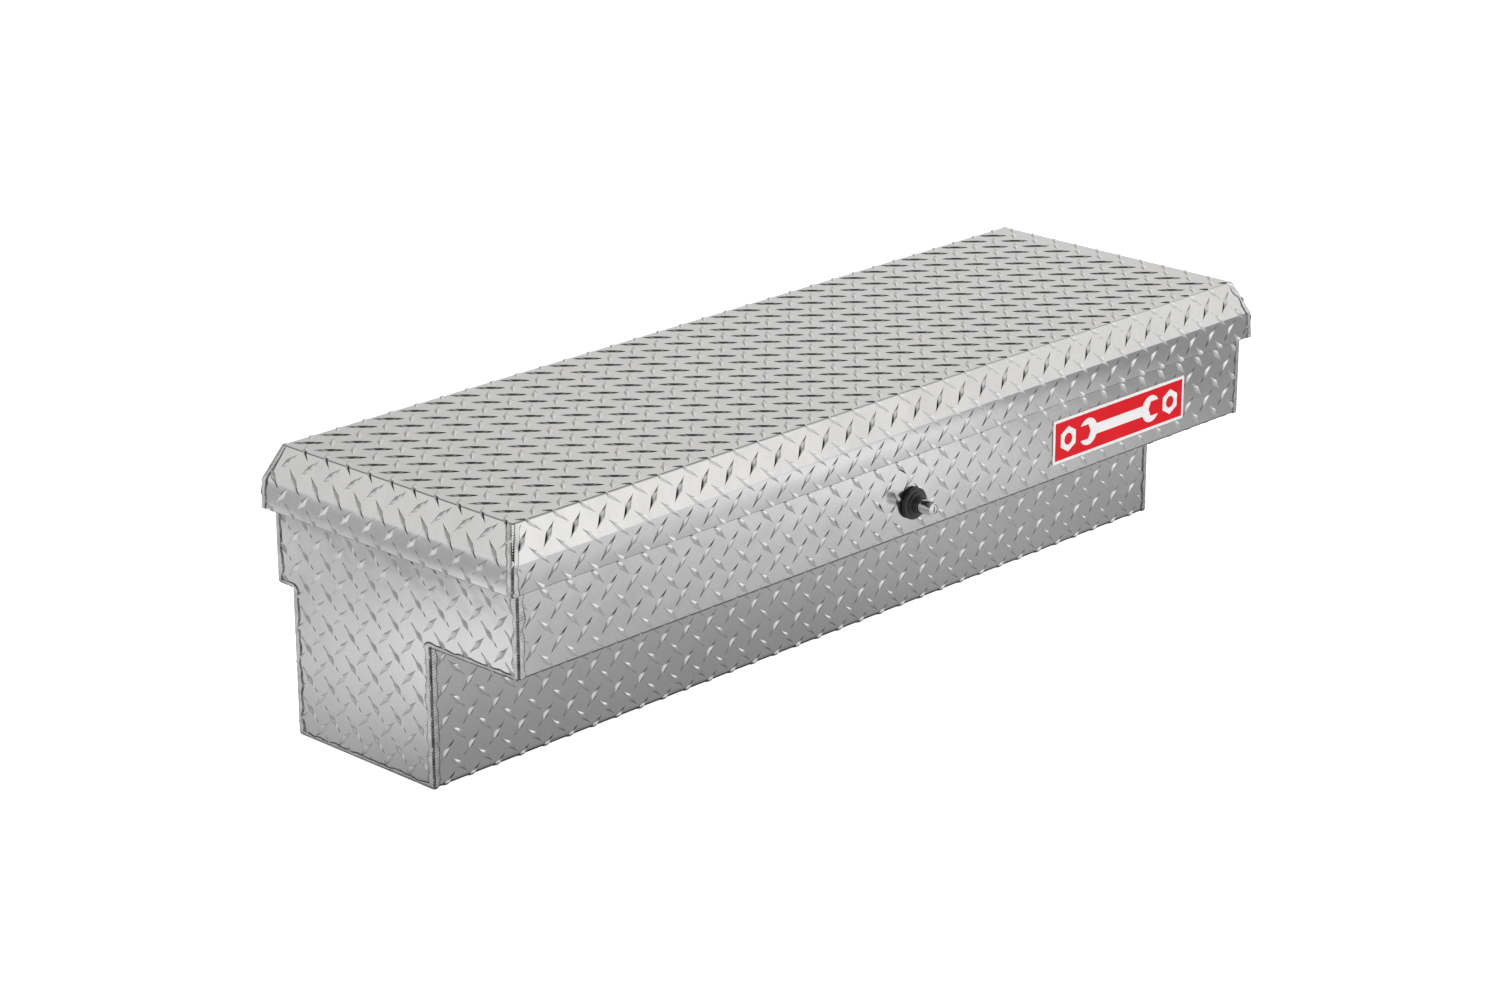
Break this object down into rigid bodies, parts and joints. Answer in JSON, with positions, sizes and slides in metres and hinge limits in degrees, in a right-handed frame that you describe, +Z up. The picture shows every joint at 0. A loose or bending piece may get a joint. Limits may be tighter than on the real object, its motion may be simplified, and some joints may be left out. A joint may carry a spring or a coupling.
{
  "type": "truck tool box",
  "caption": "Side-mount truck bed tool box of aluminium tread plate, with an overhanging front, a full-length hinged lid and a push lock.",
  "frame": {"origin": "centre of the base's underside", "axes": "+X along the box, -Y the front with the lock, +Z up"},
  "size_m": [1.219, 0.4201, 0.3255],
  "materials": {
    "tread_aluminium": "bright rolled tread plate",
    "plain_aluminium": "plain mill finish",
    "stainless_steel": "bright stainless",
    "zinc_steel": "zinc plated",
    "chrome_plate": "polished chrome",
    "black_coated_metal": "satin black coat",
    "seal_rubber": "matt",
    "badge_red": "gloss red with a white border"
  },
  "bodies": {
    "box": {"body_wrap": "tread_aluminium", "left_end_panel": "tread_aluminium", "right_end_panel": "tread_aluminium", "weather_seal": "seal_rubber", "badge_plate": "badge_red", "body_hinge_leaf": "stainless_steel", "hinge_pin": "stainless_steel", "body_hinge_rivet_1": "zinc_steel", "body_hinge_rivet_2": "zinc_steel", "body_hinge_rivet_3": "zinc_steel", "body_hinge_rivet_4": "zinc_steel", "body_hinge_rivet_5": "zinc_steel", "body_hinge_rivet_6": "zinc_steel", "lock_housing": "black_coated_metal", "lock_gasket": "seal_rubber", "lock_nut": "zinc_steel", "latch_bracket": "plain_aluminium", "hook_pivot_pin": "zinc_steel", "left_strut_body_bracket": "zinc_steel", "right_strut_body_bracket": "zinc_steel"},
    "lid": {"lid_skin": "tread_aluminium", "lid_channel_front": "plain_aluminium", "lid_channel_back": "plain_aluminium", "lid_channel_left": "plain_aluminium", "lid_channel_right": "plain_aluminium", "lid_hinge_leaf": "stainless_steel", "striker": "zinc_steel", "striker_rivet_1": "zinc_steel", "striker_rivet_2": "zinc_steel", "left_strut_lid_bracket": "zinc_steel", "right_strut_lid_bracket": "zinc_steel", "lid_hinge_rivet_1": "zinc_steel", "lid_hinge_rivet_2": "zinc_steel", "lid_hinge_rivet_3": "zinc_steel", "lid_hinge_rivet_4": "zinc_steel", "lid_hinge_rivet_5": "zinc_steel", "lid_hinge_rivet_6": "zinc_steel"},
    "lock_plunger": {"lock_plunger": "chrome_plate"},
    "key_plug": {"key_plug": "stainless_steel"},
    "latch_hook": {"latch_hook": "zinc_steel", "latch_spring": "stainless_steel"},
    "left_strut_tube": {"left_strut_tube": "black_coated_metal"},
    "left_strut_rod": {"left_strut_rod": "stainless_steel"},
    "right_strut_tube": {"right_strut_tube": "black_coated_metal"},
    "right_strut_rod": {"right_strut_rod": "stainless_steel"}
  },
  "joints": [
    {"name": "lid_hinge", "type": "hinge", "parent": "box", "child": "lid", "pos_m": [0, 0.13745, 0.2513], "axis": [-1, 0, 0], "range_deg": [0, 75]},
    {"name": "plunger_push", "type": "slide", "parent": "box", "child": "lock_plunger", "axis": [0, 1, 0], "range_m": [0, 0.012], "stiffness_N_per_m": 400, "springref_m": -0.004},
    {"name": "key_turn", "type": "hinge", "parent": "lock_plunger", "child": "key_plug", "pos_m": [0, -0.24455, 0.1975], "axis": [0, -1, 0], "range_deg": [0, 90]},
    {"name": "latch_hook_swing", "type": "hinge", "parent": "box", "child": "latch_hook", "pos_m": [0, -0.19905, 0.229], "axis": [1, 0, 0], "range_deg": [0, 23]},
    {"name": "left_tube_swing", "type": "hinge", "parent": "box", "child": "left_strut_tube", "pos_m": [-0.5475, 0.08045, 0.2193], "axis": [-1, 0, 0], "range_deg": [0, 74.07]},
    {"name": "left_rod_slide", "type": "slide", "parent": "left_strut_tube", "child": "left_strut_rod", "axis": [0, -0.8966, 0.4428], "range_m": [0, 0.07953]},
    {"name": "right_tube_swing", "type": "hinge", "parent": "box", "child": "right_strut_tube", "pos_m": [0.5475, 0.08045, 0.2193], "axis": [-1, 0, 0], "range_deg": [0, 74.07]},
    {"name": "right_rod_slide", "type": "slide", "parent": "right_strut_tube", "child": "right_strut_rod", "axis": [0, -0.8966, 0.4428], "range_m": [0, 0.07953]}
  ],
  "couplings": [
    {"joint": "latch_hook_swing", "follows": "plunger_push", "rad_per_m": 33.4},
    {"joint": "left_tube_swing", "follows": "lid_hinge", "ratio": 0.98749},
    {"joint": "left_rod_slide", "follows": "lid_hinge", "m_per_rad": 0.060738},
    {"joint": "right_tube_swing", "follows": "lid_hinge", "ratio": 0.98749},
    {"joint": "right_rod_slide", "follows": "lid_hinge", "m_per_rad": 0.060738}
  ]
}
